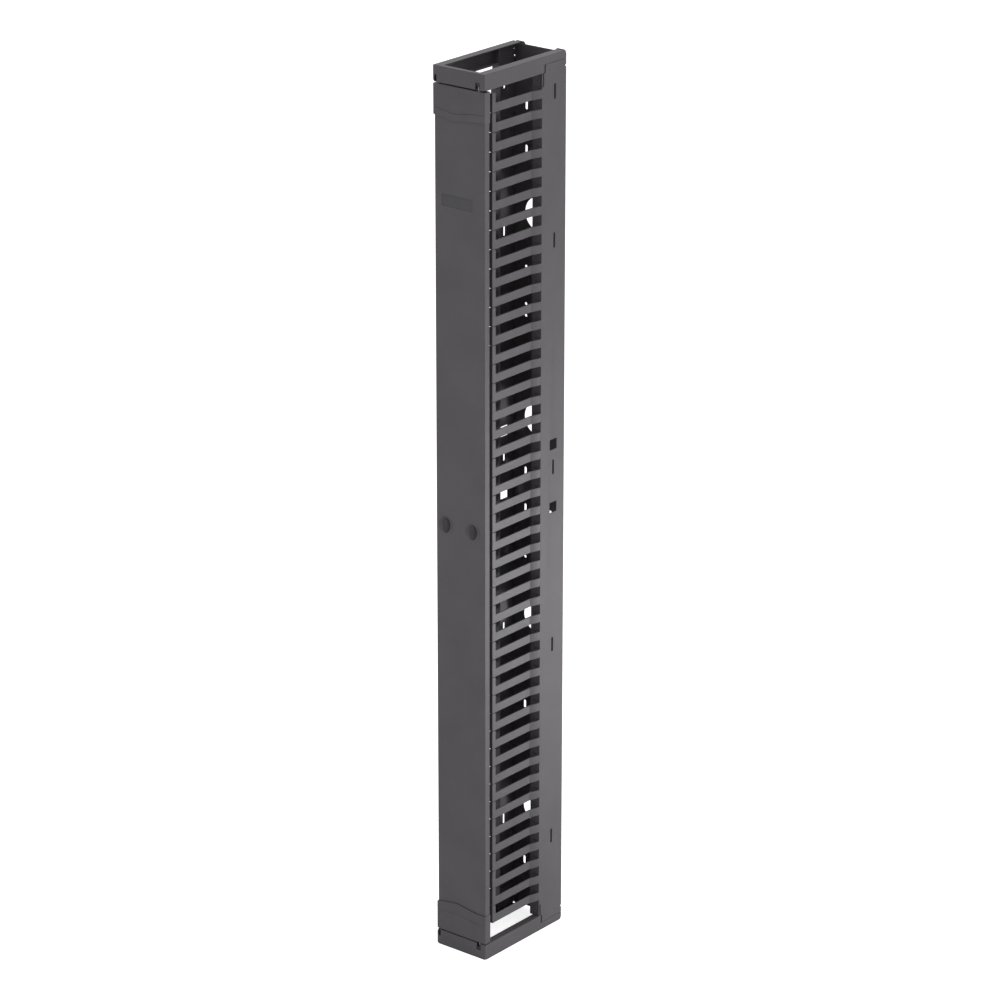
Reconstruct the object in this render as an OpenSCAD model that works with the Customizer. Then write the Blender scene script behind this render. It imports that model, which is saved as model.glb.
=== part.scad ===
// Vertical cable manager: a tall steel channel with open end rings, moulded cable fingers
// on both sides and a hinged front door with two turn latches.
// Millimetres. Origin: middle of the footprint, on the floor. -Y is the door, +Z is up.

/* [Body] */
// Width over the rings
body_w = 146; // [130:1:250]
// Depth from the front of the rings to the rear
body_d = 286; // [240:1:400]
// Rack unit, the pitch of the fingers
unit = 44.45; // [40:0.05:50]
// Number of fingers on each side
finger_count = 45; // [25:5:45]
// Floor to the underside of the lowest finger
foot_room = 81.05; // [75:0.05:180]
// Top of the highest finger's bar to the top of the body
head_room = 73.2; // [66:0.1:120]
// Thickness of the sheet steel
sheet = 2; // [1.5:0.1:2.5]

/* [End rings] */
// Height of each ring's front wall
ring_h = 37.5; // [32:0.5:60]
// Height of a ring's side where it passes the side channel
ring_lap = 18.4; // [12:0.1:24]
// Width of the outer flange along the sides
ring_flange = 22; // [15:1:30]
// Width of the outer flange along the front
ring_front = 11; // [6:0.5:20]
// Width of the flange on the channel's side of a ring
ring_lip = 20; // [18:1:24]
// Radius of the rear corners
corner_r = 8; // [4:1:14]
// Length of the tabs that close the rear corners
rear_tab = 30; // [24:1:40]

/* [Side channels] */
// Front of the body to the front of a side channel
channel_y = 200; // [170:1:220]
// Width of the front flange, which carries the fingers
channel_flange = 27; // [24:1:34]
// Width of the rear flange
rear_flange = 22; // [16:1:30]
// Width of a mounting slot
slot_w = 6; // [4:0.5:9]
// Length of a mounting slot
slot_l = 36; // [20:1:50]
// Side of the square holes in the webs
square_hole = 25; // [15:1:30]

/* [Rear panel] */
// Diameter of the cable pass-throughs
pass_d = 80; // [40:1:100]
// Height of the lowest pass-through
pass_z = 271.5; // [200:0.5:400]
// Width of the tie slots
tie_w = 6.5; // [4:0.5:10]
// Length of the tie slots
tie_l = 20; // [12:1:40]

/* [Fingers] */
// Height of a finger's bar
finger_h = 19.9; // [16:0.1:24]
// Thickness of a finger
finger_t = 3; // [2:0.1:4]
// Front of the body to the tips of the fingers
finger_y = 34.5; // [28:0.5:60]
// How far a finger steps inwards from the side of the body
finger_step = 6.6; // [3:0.1:10]
// Length of the raised tip along the finger
tip_l = 12; // [8:0.5:20]
// How far the tips turn inwards behind the door
tip_in = 10; // [5:0.5:14]
// Slit between a raised tip and the bar above
tip_slit = 2.4; // [1.5:0.1:6]

/* [Door] */
// Clearance between each ring and the door
door_gap = 3.5; // [2:0.1:6]
// Depth of the door behind the front of the body
door_d = 19; // [18.6:0.1:26]
// How far the door panel lies behind its caps
panel_set = 3; // [2:0.1:4]
// Thickness of the door panel
panel_t = 1.5; // [1:0.1:1.8]
// Wall of the moulded door caps
cap_t = 1.8; // [1.4:0.1:2.4]
// Height of a cap at its edges
cap_h = 70; // [55:1:100]
// How much higher a cap is in the middle
cap_arch = 8.5; // [0:0.5:20]

/* [Latches] */
// Left side of the body to the axis of the left pins
hinge_in = 10; // [9:0.5:14]
// Right side of the body to the axis of the right pins
latch_in = 22; // [20:0.5:30]
// Front of the body to the axes of the pins
pin_y = 9; // [8:0.1:10]
// Diameter of the pins
pin_d = 7; // [5:0.5:8]
// How far an extended pin reaches past a ring's edge
pin_reach = 7.5; // [5:0.5:8]
// Distance from a pin's axis to its knob's axis
knob_off = 18; // [17:0.5:24]
// How far the knobs lie below mid height
knob_drop = 4; // [0:1:40]
// Diameter of a knob's dish
dish_d = 40; // [34:1:44]
// Teeth of a pinion
teeth = 16; // [14:2:18]

/* [Hidden] */

$fn = 48;
eps = 0.01;
paint = "#55535a";
dark_paint = "#47454b";
plastic = "#4c4a50";
black = "#26262a";
zinc = "#b9bcc2";

// Body
half_w = body_w / 2;
front = -body_d / 2;
rear = body_d / 2;
body_h = foot_room + (finger_count - 1) * unit + finger_h + head_room;
seam = 0.6;              // joint between a ring and what it butts against
slide_fit = 0.3;         // loose clearance round sliding bars
run_fit = 0.05;          // radial clearance of a turning or sliding round fit
chamfer = 5;             // cut corners of the ring fronts

// Rings and what fastens them
lap_y = front + channel_y + 6.5;      // where a ring's full height ends
lap_slit = 6;                         // open slit behind it, above the low part
flange_end = 8;                       // outer flange short of the rear
tab_cut = 4;                          // cut corner of a rear tab
notch_w = [6, 12.4];                  // left and right windows in the ring front
notch_in = [6.65, 20.15];             // their centres from the left and right side
notch_h = 16.5;
notch_r = 2.5;
splice_t = 2.5;
splice_h = 56;
splice_rear = 12;        // splice plates short of the rear
rivet_d = 4;

// Side channels and rear panel
channel_z = ring_lap + seam;
slot_z = [232.5, 722, 1160, 1700.5, 2044];   // heights of the slots in a web
square_z = [1062, 1215];                     // heights of the square holes
web_hole_y = rear - 40;
corner_w = 7;            // open corner of a channel beside a ring
corner_h = 68;
relief_d = 5;
relief_z = 35;
panel_z = 5;             // rear panel short of each end
pass_pitch = 11 * unit;
tie_in = 36;             // tie slots from the sides of the body
tie_z = [124.7, 530, 1024, 1115, 1884, 1986];   // heights of the tie slots
tie_hole_z = [903, 1492, 1520, 1609];           // heights of the tie holes
rivet_pitch = 240;

// Fingers
bar_z0 = foot_room;
bend_y = front + channel_y - 7;       // rear end of a finger's step
step_l = 22;
foot_w = 19;
tongue_w = 6;
tongue_h = 11;
tongue_in = 10;                       // tongue from the outer face of the body
hook_l = 3;
fingers_per_node = finger_count / 5;

// Door
door_z0 = ring_h + door_gap;
cap_floor = 3;
cap_gap = 0.3;
panel_w = body_w - 2 * (cap_t + cap_gap);
panel_front = front + panel_set;
panel_back = panel_front + panel_t;
door_back = front + door_d;
hem = 8;
crease_in = [17, 25];                 // crease from the edge of the top and bottom cap
crease_w = 1;
badge_w = 86;
badge_h = 27;
badge_t = 0.5;
badge_x = -7.5;
badge_z = body_h - 302.5;
badge_pocket = 1;

// Latches. Index 0 is the left, hinged side; 1 is the right side.
pin_x = [hinge_in - half_w, half_w - latch_in];
knob_x = [pin_x[0] + knob_off, pin_x[1] - knob_off];
knob_z = body_h / 2 - knob_drop;
pin_axis_y = front + pin_y;
pin_tip = ring_h - pin_reach;
guide_top = door_z0 + cap_floor + 20;
rod_end = guide_top + 2;
pin_flat = 30;
rod_w = 8;
rod_t = 3;
rod_front = front + 11;
dish_floor = 1.4;
dish_depth = 5.8;
dish_rim = 2;
dish_rim_t = 0.6;
dish_back = rod_front - 0.4;
ball_r = (pow(dish_d / 2, 2) + pow(dish_depth, 2)) / (2 * dish_depth);
grip_w = 24;
grip_l = 38;
shaft_d = 8;
tooth_m = 1;                          // gear module
pitch_r = tooth_m * teeth / 2;
addendum = 0.8 * tooth_m;
dedendum = 1.15 * tooth_m;
backlash = 0.12;
stroke = pitch_r * PI / 2;            // a quarter turn
rack_w = 3.9;                         // solid back of a rack behind its pitch line
pinion_front = rod_front;
cover_front = rod_front + rod_t + 0.5;
cover_t = 1.6;
cover_in = 23;
cover_up = 36;
cover_down = 52;
leg_r = 3;

// ---- helpers ----

// builds its children again, upside down, at the other end of the body
module both_ends() {
    children();
    translate([0, 0, body_h]) mirror([0, 0, 1]) children();
}
module at_top() translate([0, 0, body_h]) mirror([0, 0, 1]) children();

module block(x0, x1, y0, y1, z0, z1)
    translate([x0, y0, z0]) cube([x1 - x0, y1 - y0, z1 - z0]);

// cylinder along Y from y0 to y1
module rod_y(x, z, r, y0, y1)
    translate([x, y1, z]) rotate([90, 0, 0]) cylinder(r = r, h = y1 - y0);

// cylinder along X from x0 to x1
module rod_x(y, z, r, x0, x1)
    translate([x0, y, z]) rotate([0, 90, 0]) cylinder(r = r, h = x1 - x0);

// upright slot with round ends, cut along Y
module slot_y(x, z, w, l, y0, y1) {
    block(x - w / 2, x + w / 2, y0, y1, z - (l - w) / 2, z + (l - w) / 2);
    for (s = [-1, 1]) rod_y(x, z + s * (l - w) / 2, w / 2, y0, y1);
}

// ---- sheet metal ----

module rear_panel() color(paint) difference() {
    block(-half_w + sheet + slide_fit, half_w - sheet - slide_fit,
        rear - 2 * sheet, rear - sheet, panel_z, body_h - panel_z);
    for (z = [pass_z : pass_pitch : body_h - pass_d])
        rod_y(0, z, pass_d / 2, rear - 3 * sheet, rear);
    for (s = [-1, 1], z = tie_z) if (z < body_h - 60)
        slot_y(s * (half_w - tie_in), z, tie_w, tie_l, rear - 3 * sheet, rear);
    for (s = [-1, 1], z = tie_hole_z) if (z < body_h - 60)
        rod_y(s * (half_w - tie_in), z, tie_w / 2, rear - 3 * sheet, rear);
    panel_rivet_places() rod_y(0, 0, rivet_d / 2, rear - 3 * sheet, rear);
}

module panel_rivet_places()
    for (s = [-1, 1], z = [channel_z + 20 : rivet_pitch : body_h - channel_z - 10])
        translate([s * (half_w - rear_flange / 2), 0, z]) children();

// rivet through the panel and the channel's flange: flush outside, headed inside
module panel_rivets() color(paint) panel_rivet_places() {
    rod_y(0, 0, rivet_d / 2 - run_fit, rear - 2 * sheet, rear);
    rod_y(0, 0, rivet_d * 0.8, rear - 2 * sheet - 1, rear - 2 * sheet);
}

// folded side channel, drawn for the right side
module channel() {
    x0 = half_w;
    y0 = front + channel_y;
    difference() {
        block(x0 - channel_flange, x0, y0, rear, channel_z, body_h - channel_z);
        // hollow of the section
        block(x0 - channel_flange - eps, x0 - sheet, y0 + sheet, rear - sheet,
            channel_z - eps, body_h - channel_z + eps);
        // shorter rear flange
        block(x0 - channel_flange - eps, x0 - rear_flange, rear - 2 * sheet, rear + eps,
            channel_z - eps, body_h - channel_z + eps);
        // mounting slots and square holes in the web
        for (z = slot_z) if (z < body_h - 60) web_slot(z);
        for (z = square_z) if (z < body_h - 60)
            block(x0 - 2 * sheet, x0 + eps, web_hole_y - square_hole / 2,
                web_hole_y + square_hole / 2, z - square_hole / 2, z + square_hole / 2);
        both_ends() {
            // steps over the ring's full height, its corner left open above that
            block(x0 - channel_flange - eps, x0 + eps, y0 - eps, lap_y + lap_slit,
                channel_z - eps, ring_h + seam);
            block(x0 - corner_w, x0 + eps, y0 - eps, lap_y + 0.5, channel_z - eps, corner_h);
            // bend relief at the rear corner
            translate([x0, rear, relief_z]) rotate([0, 0, 45]) rotate([0, 90, 0])
                cylinder(d = relief_d, h = 12, center = true);
        }
        // one tongue slot for each finger
        for (i = [0 : finger_count - 1])
            translate([x0 - tongue_in - tongue_w / 2, y0, bar_z0 + i * unit + finger_h / 2])
                cube([tongue_w + 2 * slide_fit, 3 * sheet, tongue_h + 2 * slide_fit],
                    center = true);
        both_ends() splice_rivet_places(channel_z + 14)
            rod_x(0, 0, rivet_d / 2, -3 * sheet, eps);
        panel_rivet_cuts();
    }
}

module web_slot(z) {
    block(half_w - 2 * sheet, half_w + eps, web_hole_y - slot_w / 2, web_hole_y + slot_w / 2,
        z - (slot_l - slot_w) / 2, z + (slot_l - slot_w) / 2);
    for (s = [-1, 1])
        rod_x(web_hole_y, z + s * (slot_l - slot_w) / 2, slot_w / 2,
            half_w - 2 * sheet, half_w + eps);
}

module panel_rivet_cuts()
    for (z = [channel_z + 20 : rivet_pitch : body_h - channel_z - 10])
        rod_y(half_w - rear_flange / 2, z, rivet_d / 2, rear - 3 * sheet, rear + eps);

module right_channel() color(paint) channel();
module left_channel() color(paint) mirror([1, 0, 0]) channel();

// ---- end rings, drawn for the floor end ----

module ring(foot) difference() {
    union() {
        // low part, which passes under the side channels
        difference() {
            block(-half_w, half_w, front, rear, 0, ring_lap);
            block(-half_w + sheet, half_w - sheet, front + sheet, rear + eps,
                sheet, ring_lap + eps);
            block(-half_w + ring_flange, half_w - ring_flange, front + ring_front,
                rear + eps, -eps, sheet + eps);
            block(-half_w + sheet, half_w - sheet, rear - flange_end, rear + eps,
                -eps, sheet + eps);
        }
        // full height, with a lip beside the door and the fingers
        difference() {
            block(-half_w, half_w, front, lap_y, ring_lap, ring_h);
            block(-half_w + sheet, half_w - sheet, front + sheet, lap_y + eps,
                ring_lap - eps, ring_h - sheet);
            block(-half_w + ring_lip, half_w - ring_lip, front + ring_lip, lap_y + eps,
                ring_lap, ring_h + eps);
        }
        for (s = [0, 1]) mirror([s, 0, 0]) {
            // tab that closes the end of the full height
            block(half_w - ring_lip, half_w - sheet / 2, lap_y - sheet, lap_y,
                sheet / 2, ring_h - sheet / 2);
            // tab round the rear corner
            block(half_w - rear_tab, half_w, rear - sheet, rear, 0, ring_lap);
        }
    }
    for (s = [0, 1]) mirror([s, 0, 0]) rear_corner();
    // cut corners of the front, beside the door and, on the floor ring, at the floor
    for (s = [-1, 1]) {
        front_corner(s, ring_h);
        if (foot) front_corner(s, 0);
    }
    // windows in front of the pins, open towards the door
    for (i = [0, 1]) {
        x = i == 0 ? notch_in[0] - half_w : half_w - notch_in[1];
        side = notch_w[i] / 2;
        low = ring_h - notch_h;
        block(x - side, x + side, front - eps, front + sheet + eps, low + notch_r,
            ring_h + eps);
        block(x - side + notch_r, x + side - notch_r, front - eps, front + sheet + eps,
            low, low + 2 * notch_r);
        for (s = [-1, 1]) rod_y(x + s * (side - notch_r), low + notch_r, notch_r,
            front - eps, front + sheet + eps);
    }
    // seat of the hinge bush
    translate([pin_x[0], pin_axis_y, ring_h - 2 * sheet])
        cylinder(d = bush_d + 2 * run_fit, h = 3 * sheet);
    // mouth of the latch keeper, open to the front
    mouth_w = pin_d + 2;
    block(pin_x[1] - mouth_w / 2, pin_x[1] + mouth_w / 2, front + sheet - eps, pin_axis_y,
        ring_h - 2 * sheet, ring_h + eps);
    translate([pin_x[1], pin_axis_y, ring_h - 2 * sheet]) cylinder(d = mouth_w, h = 3 * sheet);
    keeper_screw_places() cylinder(d = screw_d + 2 * run_fit, h = 3 * sheet, center = true);
    splice_rivet_places(ring_lap / 2) rod_x(0, 0, rivet_d / 2, -3 * sheet, eps);
    mirror([1, 0, 0])
        splice_rivet_places(ring_lap / 2) rod_x(0, 0, rivet_d / 2, -3 * sheet, eps);
}

// rounds the side wall and the rear tab, so the floor corner stays open
module rear_corner() {
    difference() {
        block(half_w - sheet, half_w + eps, rear - corner_r, rear + eps, -eps, corner_r);
        rod_x(rear - corner_r, corner_r, corner_r, half_w - 2 * sheet, half_w + 1);
    }
    difference() {
        block(half_w - corner_r, half_w + eps, rear - sheet, rear + eps, -eps, corner_r);
        rod_y(half_w - corner_r, corner_r, corner_r, rear - 2 * sheet, rear + 1);
    }
    translate([half_w - rear_tab, rear - sheet / 2, 0]) rotate([0, 45, 0])
        cube([tab_cut * sqrt(2), 2 * sheet, tab_cut * sqrt(2)], center = true);
}

module front_corner(s, z) translate([s * half_w, front + sheet / 2, z]) rotate([0, 45, 0])
    cube([chamfer, 2 * sheet, chamfer], center = true);

module top_ring() color(paint) at_top() ring(false);
module bottom_ring() color(paint) ring(true);

// ---- splice plates between the rings and the channels ----

splice_y0 = lap_y + lap_slit + 1.5;
splice_l = rear - splice_rear - splice_y0;

// two places in a row at height z, on the right side, at both ends of the body
module splice_rivet_places(z)
    for (y = [splice_y0 + splice_l / 5, splice_y0 + splice_l * 4 / 5])
        translate([half_w, y, z]) children();

module splice_plate() difference() {
    block(half_w - sheet - splice_t, half_w - sheet, splice_y0, splice_y0 + splice_l,
        sheet + 0.5, splice_h);
    for (z = [ring_lap / 2, channel_z + 14])
        splice_rivet_places(z) rod_x(0, 0, rivet_d / 2, -9, eps);
}

module four_corners() both_ends() {
    children();
    mirror([1, 0, 0]) children();
}

module splice_plates() color(dark_paint) four_corners() splice_plate();

// flush outside, domed inside
module splice_rivets() color(dark_paint) four_corners()
    for (z = [ring_lap / 2, channel_z + 14]) splice_rivet_places(z) {
        rod_x(0, 0, rivet_d / 2 - run_fit, -sheet - splice_t, 0);
        rod_x(0, 0, rivet_d * 0.8, -sheet - splice_t - 1.4, -sheet - splice_t);
    }

// ---- cable fingers ----

// plan of a finger on the right side
module finger_plan() {
    xo = half_w;
    xi = half_w - finger_step;
    y1 = bend_y;
    y2 = bend_y - step_l;
    tip = front + finger_y;
    root = front + channel_y;
    polygon([[xo, root], [xo, y1], [xi, y2], [xi, tip], [xi - finger_t, tip],
        [xi - finger_t, y2 + 1], [xo - finger_t, y1 + 1], [xo - finger_t, root - finger_t],
        [xo - foot_w, root - finger_t], [xo - foot_w, root]]);
}

// bar, raised tip that turns inwards, stiffening rib and hooked tongue
module finger() {
    tip = front + finger_y;
    top = unit - tip_slit;
    r = 3;
    xi = half_w - finger_step;
    root = front + channel_y;
    linear_extrude(finger_h) finger_plan();
    block(xi - finger_t, xi, tip, tip + tip_l, finger_h - eps, top - r);
    block(xi - finger_t, xi, tip, tip + tip_l - r, finger_h - eps, top);
    rod_x(tip + tip_l - r, top - r, r, xi - finger_t, xi);
    block(xi - tip_in, xi - finger_t + eps, tip, tip + finger_t, 0, top - r);
    block(xi - tip_in + r, xi - finger_t + eps, tip, tip + finger_t, 0, top);
    rod_y(xi - tip_in + r, top - r, r, tip, tip + finger_t);
    block(xi - finger_t - 2, xi - finger_t, tip + tip_l, bend_y - step_l,
        finger_h / 2 - 1, finger_h / 2 + 1);
    translate([half_w - tongue_in - tongue_w / 2, root, finger_h / 2]) {
        translate([-tongue_w / 2, -eps, -tongue_h / 2])
            cube([tongue_w, sheet + hook_l + eps, tongue_h]);
        translate([-tongue_w / 2 - 1.2, sheet + 0.2, -tongue_h / 2])
            cube([tongue_w + 1.2, hook_l - 0.2, tongue_h]);
    }
}

module finger_set(i) for (k = [i * fingers_per_node : (i + 1) * fingers_per_node - 1])
    translate([0, 0, bar_z0 + k * unit]) finger();

module right_fingers(i) color(plastic) finger_set(i);
module left_fingers(i) color(plastic) mirror([1, 0, 0]) finger_set(i);

// ---- bearings of the door pins in the rings ----

bush_d = 11;
bush_lip = 1.2;
screw_d = 3;

// flanged bush that turns the left pin
bush_l = 17;

module hinge_bush() translate([pin_x[0], pin_axis_y, 0]) difference() {
    union() {
        translate([0, 0, ring_h - bush_l]) cylinder(d = bush_d, h = bush_l);
        translate([0, 0, ring_h - sheet - bush_lip]) cylinder(d = bush_d + 2.5, h = bush_lip);
    }
    translate([0, 0, ring_h - bush_l - eps])
        cylinder(d = pin_d + 2 * run_fit, h = bush_l + 2 * eps);
}

module hinge_bushes() color(black) both_ends() hinge_bush();

// keeper block whose pocket is open to the front, so the right pin can swing out
keeper_w = 30;
keeper_l = 17;
keeper_h = 21;

module latch_keeper() {
    y0 = front + sheet + slide_fit;
    z1 = ring_h - sheet;
    pocket_z = pin_tip - 1;
    difference() {
        block(pin_x[1] - keeper_w / 2, pin_x[1] + keeper_w / 2, y0, y0 + keeper_l,
            z1 - keeper_h, z1);
        // the mouth is wider on the hinge side, where the pin's arc leads it
        block(pin_x[1] - pin_d / 2 - 2 * slide_fit, pin_x[1] + pin_d / 2 + run_fit, y0 - eps,
            pin_axis_y, pocket_z, z1 + eps);
        translate([pin_x[1], pin_axis_y, pocket_z])
            cylinder(d = pin_d + 2 * run_fit, h = ring_h - pocket_z);
        keeper_screw_places()
            cylinder(d = screw_d + 2 * run_fit, h = 4 * keeper_h, center = true);
    }
}

module latch_keepers() color(black) both_ends() latch_keeper();

module keeper_screw_places() for (s = [-1, 1])
    translate([pin_x[1] + s * (keeper_w / 2 - 4), front + sheet + slide_fit + keeper_l - 5,
        ring_h]) children();

// pan-head screws from inside the ring
module keeper_screws() color(zinc) both_ends() keeper_screw_places() {
    translate([0, 0, -sheet - keeper_h]) cylinder(d = screw_d, h = sheet + keeper_h);
    translate([0, 0, -sheet - keeper_h - 1.8]) cylinder(d = screw_d * 1.9, h = 1.8);
}

// ---- door ----

panel_z0 = door_z0 + cap_floor + cap_gap;

module door_panel() color(paint) difference() {
    block(-panel_w / 2, panel_w / 2, panel_front, door_back, panel_z0, body_h - panel_z0);
    block(-panel_w / 2 + panel_t, panel_w / 2 - panel_t, panel_back, door_back - panel_t,
        panel_z0 - eps, body_h - panel_z0 + eps);
    block(-panel_w / 2 + hem, panel_w / 2 - hem, door_back - 2 * panel_t, door_back + eps,
        panel_z0 - eps, body_h - panel_z0 + eps);
    for (x = knob_x) rod_y(x, knob_z, dish_d / 2 + dish_floor + slide_fit,
        panel_front - eps, panel_back + eps);
    block(badge_x - badge_w / 2, badge_x + badge_w / 2, panel_front - eps,
        panel_front + badge_pocket, badge_z - badge_h / 2, badge_z + badge_h / 2);
    both_ends() cap_screw_places()
        rod_y(0, 0, screw_d / 2 + run_fit, panel_front - 1, panel_back + 1);
}

// thin blank plate, sunk in its pocket
module badge_plate() color(dark_paint)
    block(badge_x - badge_w / 2 + 0.4, badge_x + badge_w / 2 - 0.4,
        panel_front + badge_pocket - badge_t, panel_front + badge_pocket,
        badge_z - badge_h / 2 + 0.4, badge_z + badge_h / 2 - 0.4);

// height of the cap's edge above the cap's foot at x: a low peak left of the middle
arch_mid = -14;
arch_x = [-half_w, arch_mid - 5, arch_mid, arch_mid + 5, arch_mid + (half_w + arch_mid), half_w];
function arch(x) = cap_h + cap_arch
    * max(0, min(0.94, 1 - abs(x - arch_mid) / (half_w + arch_mid)) + (x == arch_mid ? 0.06 : 0));

// cap for the floor end of the door; its crease lies at a distance from its edge
module door_cap(crease_at) difference() {
    union() {
        difference() {
            union() {
                translate([0, front + cap_t, door_z0]) rotate([90, 0, 0])
                    linear_extrude(cap_t)
                        polygon(concat([[half_w, 0], [-half_w, 0]],
                            [for (x = arch_x) [x, arch(x)]]));
                block(-half_w, half_w, front, door_back, door_z0, door_z0 + cap_h);
            }
            block(-half_w + cap_t, half_w - cap_t, front + cap_t, door_back + eps,
                door_z0 + cap_floor, door_z0 + cap_h + eps);
        }
        // guides of the two pins
        for (x = pin_x) translate([x, pin_axis_y, door_z0])
            cylinder(d = pin_d + 3, h = guide_top - door_z0);
        // pads that the panel is screwed to
        cap_screw_places()
            rod_y(0, 0, 5, front + cap_t - eps, panel_front);
    }
    // the panel's front wall stands between the guides and the cap's front
    block(-panel_w / 2 - cap_gap, panel_w / 2 + cap_gap, panel_front - eps,
        panel_back + 0.1, panel_z0 - cap_gap, door_z0 + cap_h + cap_arch);
    for (x = pin_x) translate([x, pin_axis_y, door_z0 - eps])
        cylinder(d = pin_d + 2 * run_fit, h = guide_top - door_z0 + 2 * eps);
    cap_screw_places() rod_y(0, 0, screw_d / 2 + run_fit, front + 1, panel_back);
    crease(crease_at);
}

// shallow groove that follows the edge
module crease(in) translate([0, front + 0.4, door_z0]) rotate([90, 0, 0]) linear_extrude(1)
    polygon(concat([for (x = arch_x) [x, arch(x) - in]],
        [for (i = [len(arch_x) - 1 : -1 : 0])
            [arch_x[i], arch(arch_x[i]) - in - crease_w]]));

module cap_screw_places() for (s = [-1, 1])
    translate([s * panel_w / 5, 0, door_z0 + cap_h * 0.6]) children();

module top_cap() color(dark_paint) at_top() door_cap(crease_in[0]);
module bottom_cap() color(dark_paint) door_cap(crease_in[1]);

module cap_screws() color(zinc) both_ends() cap_screw_places() {
    rod_y(0, 0, screw_d / 2, front + 1, panel_back);
    rod_y(0, 0, screw_d * 0.95, panel_back, panel_back + 1.8);
}

// ---- turn latches; side 0 is the left, 1 the right ----

// builds its children about the knob's axis; +X there points to the nearer side of the body
module at_knob(side) translate([knob_x[side], 0, knob_z])
    mirror([side == 0 ? 1 : 0, 0, 0]) children();

// the dish is part of a ball whose centre lies in front of the door
module dish_ball(r) translate([0, panel_front - dish_rim_t + dish_depth - ball_r, 0])
    sphere(r = r, $fn = 240);

module dish(side) color(dark_paint) at_knob(side) difference() {
    union() {
        rod_y(0, 0, dish_d / 2 + dish_floor, panel_front, dish_back);
        rod_y(0, 0, dish_d / 2 + dish_rim, panel_front - dish_rim_t, panel_front);
    }
    dish_ball(ball_r);
    rod_y(0, 0, shaft_d / 2 + run_fit, front, dish_back + eps);
}
module left_dish() dish(0);
module right_dish() dish(1);

// boat-shaped grip on a round shaft
module knob(side) color(black) at_knob(side) {
    circle_r = (pow(grip_w / 2, 2) + pow(grip_l / 2, 2)) / grip_w;
    off = circle_r - grip_w / 2;
    intersection() {
        translate([0, panel_front + dish_depth, 0]) rotate([90, 0, 0])
            linear_extrude(dish_depth + 0.6) intersection() {
                translate([off, 0]) circle(r = circle_r, $fn = 160);
                translate([-off, 0]) circle(r = circle_r, $fn = 160);
            }
        dish_ball(ball_r - 0.35);
        translate([0, panel_front + 16, -grip_l]) cylinder(r = 16.4, h = 2 * grip_l, $fn = 160);
    }
    rod_y(0, 0, shaft_d / 2, panel_front + dish_depth - 2, cover_front + cover_t);
}
module left_knob() knob(0);
module right_knob() knob(1);

// involute of the pinion's base circle at roll angle t, turned back by a
function involute(r, t, a) = [r * (cos(t - a) + t * PI / 180 * sin(t - a)),
    r * (sin(t - a) - t * PI / 180 * cos(t - a))];
pressure = 20;
base_r = pitch_r * cos(pressure);
tip_r = pitch_r + addendum;
root_r = pitch_r - dedendum;
function roll(r) = r <= base_r ? 0 : sqrt(pow(r / base_r, 2) - 1) * 180 / PI;
pitch_half = 90 / teeth - backlash / 2 / pitch_r * 180 / PI;
flank_turn = pitch_half + roll(pitch_r) - pressure;
flank_n = 4;
flank = [for (i = [0 : flank_n]) involute(base_r, roll(tip_r) * i / flank_n, flank_turn)];
tooth = concat([[root_r * cos(flank_turn), -root_r * sin(flank_turn)]], flank,
    [for (i = [flank_n : -1 : 0]) [flank[i][0], -flank[i][1]]],
    [[root_r * cos(flank_turn), root_r * sin(flank_turn)]]);

// one tooth points along +X, where it meshes with the upper rod's rack
module pinion(side) color(zinc) at_knob(side)
    translate([0, pinion_front + rod_t, 0]) rotate([90, 0, 0]) difference() {
        linear_extrude(rod_t) union() {
            circle(r = root_r + 0.02);
            for (k = [0 : teeth - 1]) rotate(k * 360 / teeth) polygon(tooth);
        }
        translate([0, 0, -eps]) cylinder(r = shaft_d / 2 + 0.02, h = rod_t + 2 * eps);
    }
module left_pinion() pinion(0);
module right_pinion() pinion(1);

module knob_screw(side) color(zinc) at_knob(side)
    rod_y(0, 0, shaft_d * 0.7, cover_front + cover_t, cover_front + cover_t + 1.6);
module left_knob_screw() knob_screw(0);
module right_knob_screw() knob_screw(1);

// toothed edge of a rack that faces -X, from low to high, its pitch line at x
rack_far = stroke + 5;
rack_near = 4.5;
tooth_pitch = tooth_m * PI;
function rack_edge(x) = let (
        half = tooth_pitch / 4 - backlash / 2,
        lean = tan(pressure),
        form = [[dedendum, -half - dedendum * lean], [-addendum, -half + addendum * lean],
            [-addendum, half - addendum * lean], [dedendum, half + dedendum * lean]])
    [for (k = [ceil(-rack_near / tooth_pitch) : floor(rack_far / tooth_pitch) - 1], q = form)
        [x + q[0], (k + 0.5) * tooth_pitch + q[1]]];

module bar_plate() translate([0, rod_front + rod_t, 0]) rotate([90, 0, 0])
    linear_extrude(rod_t) children();

// flat bar cut from plate: a rack on the pinion's outer side, then straight up
module upper_rod(side) color(zinc) at_knob(side) bar_plate() {
    x0 = knob_off - rod_w / 2;
    x1 = knob_off + rod_w / 2;
    root = pitch_r + dedendum;
    top = body_h - rod_end - knob_z;
    polygon(concat([[root, -rack_near]], rack_edge(pitch_r),
        [[root, rack_far], [x0, rack_far], [x0, top], [x1, top], [x1, -rack_near]]));
}

// flat bar cut from plate: a rack on the pinion's inner side, an arm below it, then down
module lower_rod(side) color(zinc) at_knob(side) bar_plate() {
    x0 = knob_off - rod_w / 2;
    x1 = knob_off + rod_w / 2;
    root = -pitch_r - dedendum;
    back = -pitch_r - rack_w - 3;
    arm_z = -rack_near - 2 * stroke - 2;
    foot = rod_end - knob_z;
    polygon(concat([[root, rack_near]], [for (p = rack_edge(pitch_r)) -p],
        [[root, arm_z], [x1, arm_z], [x1, foot], [x0, foot], [x0, arm_z - rod_w],
            [back, arm_z - rod_w], [back, rack_near]]));
}

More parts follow.
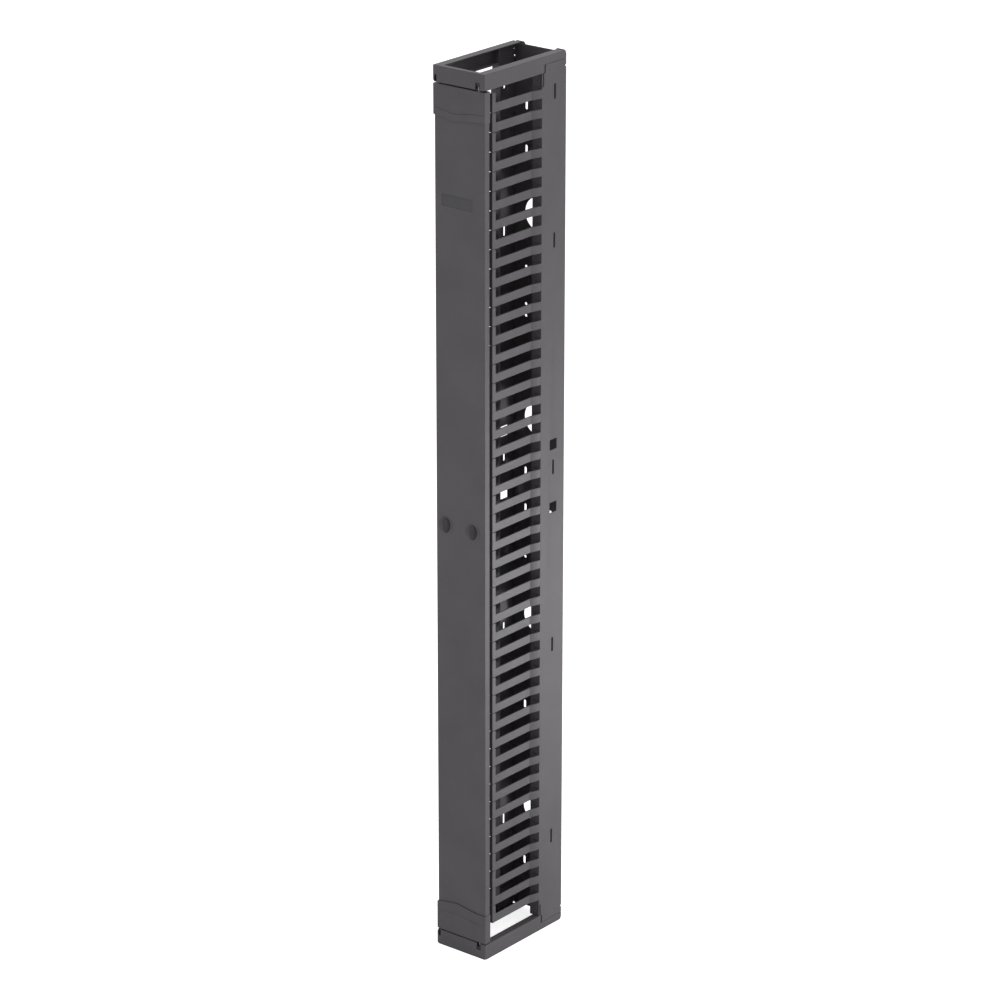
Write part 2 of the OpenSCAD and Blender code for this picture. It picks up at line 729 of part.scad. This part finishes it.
// turned pin with a flat that the bar lies on, drawn for the floor end
module pin(side) translate([pin_x[side], pin_axis_y, 0]) difference() {
    union() {
        translate([0, 0, pin_tip + 1]) cylinder(d = pin_d, h = rod_end + pin_flat - pin_tip - 1);
        translate([0, 0, pin_tip]) cylinder(d1 = pin_d - 2, d2 = pin_d, h = 1);
    }
    translate([-pin_d, rod_front - pin_axis_y, rod_end - eps])
        cube([2 * pin_d, pin_d, pin_flat + 1]);
}

module left_upper_rod() upper_rod(0);
module right_upper_rod() upper_rod(1);
module left_lower_rod() lower_rod(0);
module right_lower_rod() lower_rod(1);
module left_upper_pin() color(zinc) at_top() pin(0);
module right_upper_pin() color(zinc) at_top() pin(1);
module left_lower_pin() color(zinc) pin(0);
module right_lower_pin() color(zinc) pin(1);

// cover behind the gears: carries the shaft's rear end and keeps both racks in mesh
leg_at = [[0, 30], [0, -46], [-19, 26], [-19, -26]];

module leg_places(side) at_knob(side) for (p = leg_at) translate([p[0], 0, p[1]]) children();

module gear_cover(side) color(black) {
    difference() {
        union() {
            at_knob(side) {
                outer = knob_off + rod_w / 2 + slide_fit;
                inner = -pitch_r - rack_w - 3 - slide_fit;
                block(-cover_in, outer + 1.5, cover_front, cover_front + cover_t,
                    -cover_down, cover_up);
                block(outer, outer + 1.5, rod_front, cover_front + eps, -cover_down + 4,
                    cover_up);
                block(inner - 2, inner, rod_front, cover_front + eps, -20, 20);
            }
            leg_places(side) rod_y(0, 0, leg_r, panel_back, cover_front + eps);
        }
        at_knob(side) rod_y(0, 0, shaft_d / 2 + run_fit, front, rear);
        leg_places(side)
            rod_y(0, 0, screw_d / 2 + run_fit, panel_back - 1, cover_front + cover_t + eps);
    }
}
module left_gear_cover() gear_cover(0);
module right_gear_cover() gear_cover(1);

// long screws through the cover's legs, up to the panel
module cover_screws() color(zinc) for (side = [0, 1]) leg_places(side) {
    rod_y(0, 0, screw_d / 2, panel_back, cover_front + cover_t);
    rod_y(0, 0, screw_d * 0.95, cover_front + cover_t, cover_front + cover_t + 1.6);
}

// moulded clips that carry the bars inside the door
guide_z = [0.18, 0.36];               // spread over each bar: heights as shares of the body
guide_h = 12;

module rod_guides() color(black) both_ends() for (x = pin_x, f = guide_z) difference() {
    z = f * body_h;
    block(x - rod_w / 2 - 2, x + rod_w / 2 + 2, panel_back, cover_front + cover_t,
        z, z + guide_h);
    block(x - rod_w / 2 - slide_fit, x + rod_w / 2 + slide_fit, rod_front - slide_fit,
        rod_front + rod_t + slide_fit, z - eps, z + guide_h + eps);
    block(x - rod_w / 4, x + rod_w / 4, rod_front, door_back, z - eps, z + guide_h + eps);
}

rear_panel();
left_channel();
right_channel();
top_ring();
bottom_ring();
splice_plates();
splice_rivets();
panel_rivets();
left_fingers(0);  // left_fingers_1
left_fingers(1);  // left_fingers_2
left_fingers(2);  // left_fingers_3
left_fingers(3);  // left_fingers_4
left_fingers(4);  // left_fingers_5
right_fingers(0);  // right_fingers_1
right_fingers(1);  // right_fingers_2
right_fingers(2);  // right_fingers_3
right_fingers(3);  // right_fingers_4
right_fingers(4);  // right_fingers_5
hinge_bushes();
latch_keepers();
keeper_screws();
door_panel();
top_cap();
bottom_cap();
cap_screws();
badge_plate();
left_dish();
right_dish();
left_gear_cover();
right_gear_cover();
cover_screws();
rod_guides();
left_knob();
left_pinion();
left_knob_screw();
right_knob();
right_pinion();
right_knob_screw();
left_upper_rod();
left_upper_pin();
left_lower_rod();
left_lower_pin();
right_upper_rod();
right_upper_pin();
right_lower_rod();
right_lower_pin();
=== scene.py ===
from math import radians

import bpy
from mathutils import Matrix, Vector


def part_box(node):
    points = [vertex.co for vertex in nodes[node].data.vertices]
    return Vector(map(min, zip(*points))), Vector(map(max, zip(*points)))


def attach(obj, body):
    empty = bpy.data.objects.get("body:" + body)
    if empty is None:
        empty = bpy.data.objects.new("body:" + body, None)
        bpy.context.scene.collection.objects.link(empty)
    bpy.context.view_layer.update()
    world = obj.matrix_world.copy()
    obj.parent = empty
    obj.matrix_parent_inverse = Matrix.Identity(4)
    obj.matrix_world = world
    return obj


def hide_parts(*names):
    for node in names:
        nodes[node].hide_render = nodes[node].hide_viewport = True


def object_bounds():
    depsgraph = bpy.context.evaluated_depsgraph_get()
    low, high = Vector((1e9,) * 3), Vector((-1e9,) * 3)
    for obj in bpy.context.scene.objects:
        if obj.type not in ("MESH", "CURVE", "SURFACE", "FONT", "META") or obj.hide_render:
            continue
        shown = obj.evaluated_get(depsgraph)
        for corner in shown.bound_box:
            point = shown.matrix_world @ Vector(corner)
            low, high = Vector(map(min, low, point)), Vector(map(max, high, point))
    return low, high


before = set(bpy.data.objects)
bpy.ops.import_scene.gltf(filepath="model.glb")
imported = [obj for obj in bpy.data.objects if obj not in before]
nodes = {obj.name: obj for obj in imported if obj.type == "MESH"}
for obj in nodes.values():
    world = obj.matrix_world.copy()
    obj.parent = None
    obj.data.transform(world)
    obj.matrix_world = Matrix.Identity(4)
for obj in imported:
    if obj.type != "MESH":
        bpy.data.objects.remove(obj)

cad_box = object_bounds()

# ---- Sheet steel: the two end rings, the side channels, the rear panel and the door ----
# Two-millimetre steel sheet, cut, folded and riveted, then sprayed with a charcoal
# powder that melts into a fine, slightly uneven skin.


def add_node(tree, kind, **sockets):
    """A shader node whose named inputs are set to numbers or colours."""
    node = tree.nodes.new(kind)
    for name, value in sockets.items():
        node.inputs[name.replace("_", " ")].default_value = value
    return node


def new_finish(name, roughness, metallic=0.0, specular=0.3):
    """A material with a plain shader and object coordinates, ready for its own detail."""
    material = bpy.data.materials.new(name)
    material.use_nodes = True
    tree = material.node_tree
    shader = tree.nodes["Principled BSDF"]
    shader.inputs["Roughness"].default_value = roughness
    shader.inputs["Metallic"].default_value = metallic
    shader.inputs["Specular IOR Level"].default_value = specular
    place = tree.nodes.new("ShaderNodeTexCoord")
    return material, tree, shader, place.outputs["Object"]


def mottle(tree, where, scale, dark, light, detail=3.0, low=0.35, high=0.65):
    """A soft cloudy mix of two colours."""
    cloud = add_node(tree, "ShaderNodeTexNoise", Scale=scale, Detail=detail, Roughness=0.55)
    tree.links.new(where, cloud.inputs["Vector"])
    ramp = tree.nodes.new("ShaderNodeValToRGB")
    ramp.color_ramp.elements[0].position = low
    ramp.color_ramp.elements[0].color = (*dark, 1.0)
    ramp.color_ramp.elements[1].position = high
    ramp.color_ramp.elements[1].color = (*light, 1.0)
    tree.links.new(cloud.outputs["Fac"], ramp.inputs["Fac"])
    return ramp.outputs["Color"]


def grain(tree, where, shader, scale, depth, detail=2.0):
    """A fine relief over the whole surface, depth in metres."""
    noise = add_node(tree, "ShaderNodeTexNoise", Scale=scale, Detail=detail, Roughness=0.5)
    bump = add_node(tree, "ShaderNodeBump", Strength=1.0, Distance=depth)
    tree.links.new(where, noise.inputs["Vector"])
    tree.links.new(noise.outputs["Fac"], bump.inputs["Height"])
    tree.links.new(bump.outputs["Normal"], shader.inputs["Normal"])
    return noise.outputs["Fac"]


def vary_roughness(tree, fac, shader, smooth, rough):
    """Gloss that changes a little with a pattern."""
    spread = add_node(tree, "ShaderNodeMapRange", To_Min=smooth, To_Max=rough)
    tree.links.new(fac, spread.inputs["Value"])
    tree.links.new(spread.outputs["Result"], shader.inputs["Roughness"])


def powder_coat(name, dark, light):
    material, tree, shader, where = new_finish(name, 0.5)
    colour = mottle(tree, where, 9.0, dark, light)
    tree.links.new(colour, shader.inputs["Base Color"])
    peel = grain(tree, where, shader, 900.0, 0.00006)
    vary_roughness(tree, peel, shader, 0.42, 0.56)
    return material


def dress(material, *names):
    """Gives CAD nodes a finish."""
    for name in names:
        slots = nodes[name].data.materials
        slots.clear()
        slots.append(material)


def rounded(name, body, edge, material, sharp=35.0):
    """A piece in a CAD node's shape whose sharp edges are rounded, as folds and moulds are."""
    piece = bpy.data.objects.new(name + "_piece", nodes[name].data.copy())
    bpy.context.collection.objects.link(piece)
    bpy.ops.object.select_all(action="DESELECT")
    piece.select_set(True)
    bpy.context.view_layer.objects.active = piece
    bpy.ops.object.mode_set(mode="EDIT")
    bpy.ops.mesh.select_all(action="SELECT")
    bpy.ops.mesh.remove_doubles(threshold=0.00001)
    bpy.ops.mesh.dissolve_limited(angle_limit=radians(0.5))
    bpy.ops.object.mode_set(mode="OBJECT")
    bevel = piece.modifiers.new("edge", "BEVEL")
    bevel.width = edge
    bevel.segments = 2
    bevel.limit_method = "ANGLE"
    bevel.angle_limit = radians(sharp)
    bevel.use_clamp_overlap = False
    bpy.ops.object.modifier_apply(modifier=bevel.name)
    # a bevel throws a point out where a curved edge meets a straight one
    low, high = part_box(name)
    for point in piece.data.vertices:
        point.co = [min(max(value, least), most)
                    for value, least, most in zip(point.co, low, high)]
    bpy.ops.object.shade_smooth_by_angle(angle=radians(12.0))
    piece.data.materials.clear()
    piece.data.materials.append(material)
    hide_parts(name)
    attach(piece, body)
    return piece


frame_paint = powder_coat("charcoal_powder_coat", (0.085, 0.079, 0.086), (0.095, 0.089, 0.096))
dress(frame_paint, "rear_panel", "left_channel", "right_channel", "top_ring",
      "bottom_ring", "door_panel", "splice_plates", "splice_rivets", "panel_rivets")
for name in ("rear_panel", "left_channel", "right_channel", "top_ring", "bottom_ring"):
    rounded(name, "frame", 0.0006, frame_paint)
rounded("door_panel", "door", 0.0005, frame_paint)

# ---- Corner brackets inside the ends of the side channels ----
# A small folded bracket closes the open corner where a channel's front flange stops
# above a ring. It is cut from the same sheet, spot-welded inside and painted with it.

body_low, body_high = (Vector(corner) for corner in cad_box)
half_width = body_high.x
wall_inside = half_width - 0.0022
flange_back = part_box("right_channel")[0][1] + 0.0023
ring_end = flange_back + 0.0047
plate_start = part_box("splice_plates")[0][1] - 0.0003
above_ring = body_low.z + 0.0383
corner_top = body_low.z + 0.070
bracket_wall = 0.0013

bpy.ops.object.select_all(action="DESELECT")
bpy.ops.mesh.primitive_cube_add(size=1.0)
bracket = bpy.context.object
bracket.name = "corner_bracket_1"
bracket.dimensions = (bracket_wall, plate_start - flange_back, corner_top - above_ring)
bracket.location = (wall_inside - bracket_wall / 2, (plate_start + flange_back) / 2,
                    (corner_top + above_ring) / 2)
bpy.ops.object.transform_apply(location=True, rotation=False, scale=True)


def cut(place, normal):
    """Edges across the whole piece where a plane meets it."""
    bpy.ops.mesh.select_all(action="SELECT")
    bpy.ops.mesh.bisect(plane_co=place, plane_no=normal)


def pull(piece, wanted, shift):
    """Extrudes the faces that a test picks out."""
    bpy.ops.object.mode_set(mode="OBJECT")
    for part in (piece.data.vertices, piece.data.edges, piece.data.polygons):
        part.foreach_set("select", [False] * len(part))
    for face in piece.data.polygons:
        face.select = wanted(face.center, face.normal)
    bpy.ops.object.mode_set(mode="EDIT")
    bpy.ops.mesh.select_mode(type="FACE")
    bpy.ops.mesh.extrude_region_move(TRANSFORM_OT_translate={"value": shift})


bpy.ops.object.mode_set(mode="EDIT")
cut((0.0, flange_back + bracket_wall, 0.0), (0.0, 1.0, 0.0))
cut((0.0, ring_end, 0.0), (0.0, 1.0, 0.0))
pull(bracket, lambda at, n: n.x < -0.9 and at.y < flange_back + bracket_wall, (-0.010, 0.0, 0.0))
pull(bracket, lambda at, n: n.z < -0.9 and at.y > ring_end,
     (0.0, 0.0, body_low.z + 0.004 - above_ring))
bpy.ops.mesh.select_all(action="SELECT")
bpy.ops.mesh.normals_make_consistent(inside=False)
bpy.ops.object.mode_set(mode="OBJECT")
bracket.data.materials.append(frame_paint)
brackets = [bracket]
for number, (side, end) in enumerate(((-1, 1), (1, -1), (-1, -1)), start=2):
    twin = bpy.data.objects.new(f"corner_bracket_{number}", bracket.data.copy())
    bpy.context.collection.objects.link(twin)
    for point in twin.data.vertices:
        point.co.x *= side
        if end < 0:
            point.co.z = body_low.z + body_high.z - point.co.z
    if side * end < 0:
        twin.data.flip_normals()
    brackets.append(twin)
for piece in brackets:
    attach(piece, "frame")

# ---- Cable fingers ----
# Glass-filled nylon, moulded one by one in the paint's colour, with soft edges and a
# raised tip that keeps the cables in. Each is hooked into a slot of the side channel.


def moulded_plastic(name, dark, light, smooth=0.38, rough=0.5, depth=0.00004):
    material, tree, shader, where = new_finish(name, 0.45)
    colour = mottle(tree, where, 26.0, dark, light)
    tree.links.new(colour, shader.inputs["Base Color"])
    spark = grain(tree, where, shader, 1400.0, depth)
    vary_roughness(tree, spark, shader, smooth, rough)
    return material


finger_plastic = moulded_plastic("finger_nylon", (0.083, 0.077, 0.084), (0.092, 0.086, 0.093))
finger_names = [name for name in nodes if "_fingers_" in name]
dress(finger_plastic, *finger_names)
unit = 0.04445
tip_rise = 0.0012
for name in finger_names:
    row = rounded(name, "frame", 0.0005, finger_plastic)
    # the raised tips nearly touch the bar above, so the row closes like a comb
    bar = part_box(name)[0][2]
    for point in row.data.vertices:
        if (point.co.z - bar) % unit > 0.6 * unit:
            point.co.z += tip_rise

# ---- Door caps, dishes and the badge place ----
# Satin caps moulded in the same charcoal close the ends of the door. A plain blank
# plate lies in the pocket near the top, where a badge could go.

cap_plastic = moulded_plastic("cap_plastic", (0.085, 0.079, 0.086), (0.093, 0.087, 0.094))
dress(cap_plastic, "top_cap", "bottom_cap", "left_dish", "right_dish")
for name in ("top_cap", "bottom_cap"):
    rounded(name, "door", 0.0006, cap_plastic)
plate_plastic = moulded_plastic("blank_plate", (0.060, 0.058, 0.066), (0.066, 0.064, 0.073))
dress(plate_plastic, "badge_plate")

# ---- Latches: knobs, pinions, bars, pins and their bearings ----
# Black acetal knobs, covers, guides and bushes; bars and pins of zinc-plated steel.

black_plastic = moulded_plastic("black_acetal", (0.030, 0.029, 0.032), (0.036, 0.035, 0.039))
dress(black_plastic, "left_knob", "right_knob", "left_gear_cover", "right_gear_cover",
      "rod_guides", "hinge_bushes", "latch_keepers")


def zinc_plate(name):
    material, tree, shader, where = new_finish(name, 0.3, metallic=1.0)
    colour = mottle(tree, where, 120.0, (0.30, 0.30, 0.31), (0.38, 0.38, 0.40))
    tree.links.new(colour, shader.inputs["Base Color"])
    scratch = grain(tree, where, shader, 2500.0, 0.00001)
    vary_roughness(tree, scratch, shader, 0.26, 0.4)
    return material


zinc = zinc_plate("bright_zinc")
dress(zinc, "cap_screws", "cover_screws", "keeper_screws", "left_pinion", "right_pinion",
      "left_knob_screw", "right_knob_screw",
      *[f"{side}_{end}_{part}" for side in ("left", "right")
        for end in ("upper", "lower") for part in ("rod", "pin")])

# ---- Studio: floor, light and camera ----
# A pale floor and soft, even light: the right side of the body is the brighter one,
# and the floor throws some light back on its foot.

low, high = cad_box
middle = (Vector(low) + Vector(high)) / 2

bpy.ops.object.select_all(action="DESELECT")
bpy.ops.mesh.primitive_plane_add(size=60.0, location=(0.0, 0.0, low[2]))
floor = bpy.context.object
floor.name = "studio_floor"
floor_paint = bpy.data.materials.new("studio_white")
floor_paint.use_nodes = True
tree = floor_paint.node_tree
matt = tree.nodes["Principled BSDF"]
matt.inputs["Base Color"].default_value = (0.90, 0.90, 0.90, 1.0)
matt.inputs["Roughness"].default_value = 0.9
glow = add_node(tree, "ShaderNodeEmission", Color=(1.0, 1.0, 1.0, 1.0), Strength=1.0)
path = tree.nodes.new("ShaderNodeLightPath")
gain = tree.nodes.new("ShaderNodeMath")
gain.operation = "MULTIPLY"
gain.inputs[1].default_value = 0.8
both = tree.nodes.new("ShaderNodeAddShader")
tree.links.new(path.outputs["Is Camera Ray"], gain.inputs[0])
tree.links.new(gain.outputs["Value"], glow.inputs["Strength"])
tree.links.new(matt.outputs["BSDF"], both.inputs[0])
tree.links.new(glow.outputs["Emission"], both.inputs[1])
tree.links.new(both.outputs["Shader"], tree.nodes["Material Output"].inputs["Surface"])
floor.data.materials.append(floor_paint)

world = bpy.data.worlds.new("studio")
bpy.context.scene.world = world
world.use_nodes = True
tree = world.node_tree
sky = tree.nodes["Background"]
sky.inputs["Color"].default_value = (1.0, 1.0, 1.0, 1.0)
path = tree.nodes.new("ShaderNodeLightPath")
seen = tree.nodes.new("ShaderNodeMath")
seen.operation = "MAXIMUM"
level = add_node(tree, "ShaderNodeMapRange", To_Min=0.56, To_Max=1.0)
tree.links.new(path.outputs["Is Camera Ray"], seen.inputs[0])
tree.links.new(path.outputs["Is Glossy Ray"], seen.inputs[1])
tree.links.new(seen.outputs["Value"], level.inputs["Value"])
tree.links.new(level.outputs["Result"], sky.inputs["Strength"])


def soft_lamp(name, place, aim, size, power):
    """A square lamp that points at a place."""
    bpy.ops.object.light_add(type="AREA", location=place)
    lamp = bpy.context.object
    lamp.name = name
    lamp.data.shape = "SQUARE"
    lamp.data.size = size
    lamp.data.energy = power
    lamp.visible_camera = False
    lamp.rotation_euler = (Vector(aim) - Vector(place)).to_track_quat("-Z", "Y").to_euler()
    return lamp


soft_lamp("side_lamp", (3.0, 2.4, 1.6), (0.0, 0.0, 1.4), 2.0, 26.0)
soft_lamp("foot_lamp", (1.6, 1.4, 0.25), (0.0, 0.0, 0.0), 0.4, 17.0)
soft_lamp("front_lamp", (-2.0, -3.4, 0.4), (0.0, 0.0, 0.0), 0.7, 13.0)
soft_lamp("top_lamp", (0.5, -0.5, 6.0), middle, 3.0, 50.0)

yaw = radians(39.194)
pitch = radians(20.492)
bpy.ops.object.camera_add(location=(5.5936, -6.8808, 4.3905),
                          rotation=(radians(90) - pitch, 0.0, yaw))
camera = bpy.context.object
camera.data.sensor_width = 36.0
camera.data.lens = 149.12
camera.data.shift_x = 0.00588
camera.data.shift_y = 0.00622
bpy.context.scene.camera = camera
bpy.context.scene.view_settings.view_transform = "Standard"
